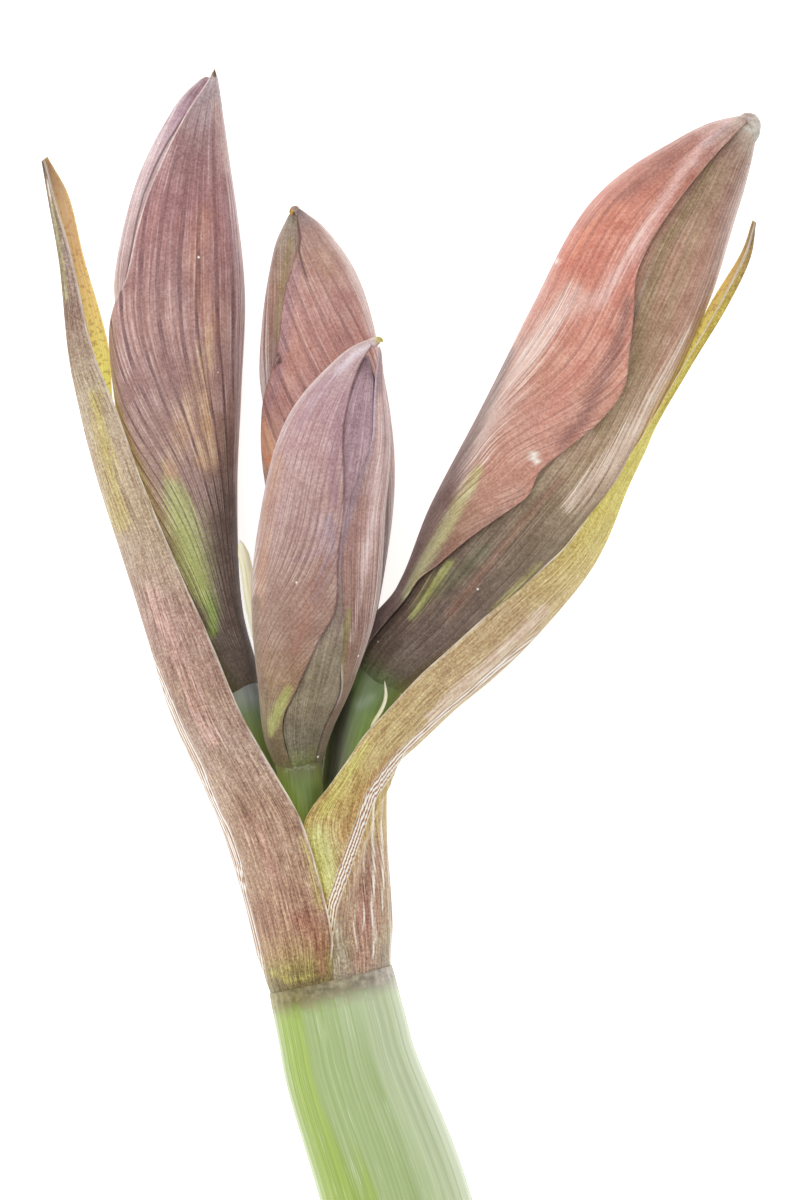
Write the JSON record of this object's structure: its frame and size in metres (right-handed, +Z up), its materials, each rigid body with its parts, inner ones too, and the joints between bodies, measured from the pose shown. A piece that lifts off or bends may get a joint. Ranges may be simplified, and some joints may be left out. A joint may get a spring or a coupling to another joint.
{
  "type": "cut amaryllis flower stalk in bud",
  "caption": "Cut amaryllis stalk lying down: hollow green stem, opened pinkish spathe leaves and closed dusty-red flower buds of unequal age.",
  "frame": {"origin": "on the table, under the middle of the bounding box", "axes": "+Z up from the table the stalk lies on, +Y along the stalk from its cut end towards the buds, +X to the right seen from above"},
  "size_m": [0.1195, 0.285, 0.0436],
  "materials": {
    "stem": "waxy green skin with pale lengthwise streaks",
    "spathe": "papery, pinkish tan with fine brown streaks",
    "ovary": "smooth green with a grey bloom",
    "outer_tepal": "matte dusty red with darker veins and an olive rib",
    "inner_tepals": "matte olive and mauve",
    "bracteole": "thin, papery, cream"
  },
  "bodies": {
    "root": {"stem": "stem", "left_spathe_leaf": "spathe", "right_spathe_leaf": "spathe", "left_bud_stalk_and_ovary": "ovary", "left_bud_outer_tepal_1": "outer_tepal", "left_bud_outer_tepal_2": "outer_tepal", "left_bud_outer_tepal_3": "outer_tepal", "left_bud_inner_tepals": "inner_tepals", "back_bud_stalk_and_ovary": "ovary", "back_bud_outer_tepal_1": "outer_tepal", "back_bud_outer_tepal_2": "outer_tepal", "back_bud_outer_tepal_3": "outer_tepal", "back_bud_inner_tepals": "inner_tepals", "front_bud_stalk_and_ovary": "ovary", "front_bud_outer_tepal_1": "outer_tepal", "front_bud_outer_tepal_2": "outer_tepal", "front_bud_outer_tepal_3": "outer_tepal", "front_bud_inner_tepals": "inner_tepals", "right_bud_stalk_and_ovary": "ovary", "right_bud_outer_tepal_1": "outer_tepal", "right_bud_outer_tepal_2": "outer_tepal", "right_bud_outer_tepal_3": "outer_tepal", "right_bud_inner_tepals": "inner_tepals", "front_bracteole": "bracteole", "back_bracteole": "bracteole"}
  },
  "joints": []
}
